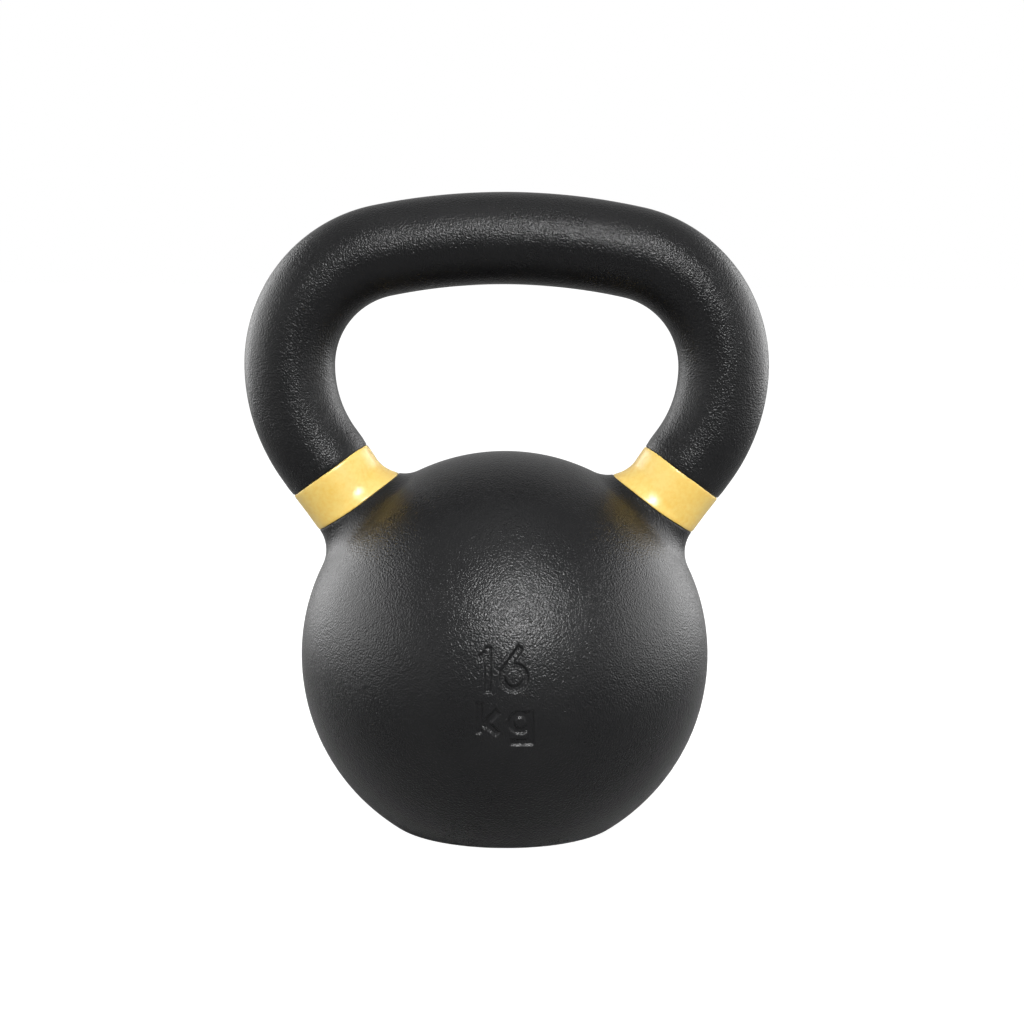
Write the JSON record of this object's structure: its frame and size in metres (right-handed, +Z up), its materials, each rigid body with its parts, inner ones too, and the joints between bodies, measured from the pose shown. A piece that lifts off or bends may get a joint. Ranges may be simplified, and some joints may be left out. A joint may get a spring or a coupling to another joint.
{
  "type": "kettlebell",
  "caption": "Cast-iron kettlebell with a round flat-based bell, a wide loop handle and a yellow band at the root of each horn.",
  "frame": {"origin": "centre of the flat base, on the surface the kettlebell stands on", "axes": "+Z up through the bell and the handle's crown, +X along the grip to the right, -Y out of the front with the weight mark"},
  "size_m": [0.1974, 0.1548, 0.2396],
  "materials": {
    "black_powder_coat": "black powder coat, satin, with a fine orange-peel grain",
    "yellow_band": "warm yellow, smooth and slightly glossy"
  },
  "bodies": {
    "root": {"bell": "black_powder_coat", "handle": "black_powder_coat", "left_colour_band": "yellow_band", "right_colour_band": "yellow_band"}
  },
  "joints": []
}
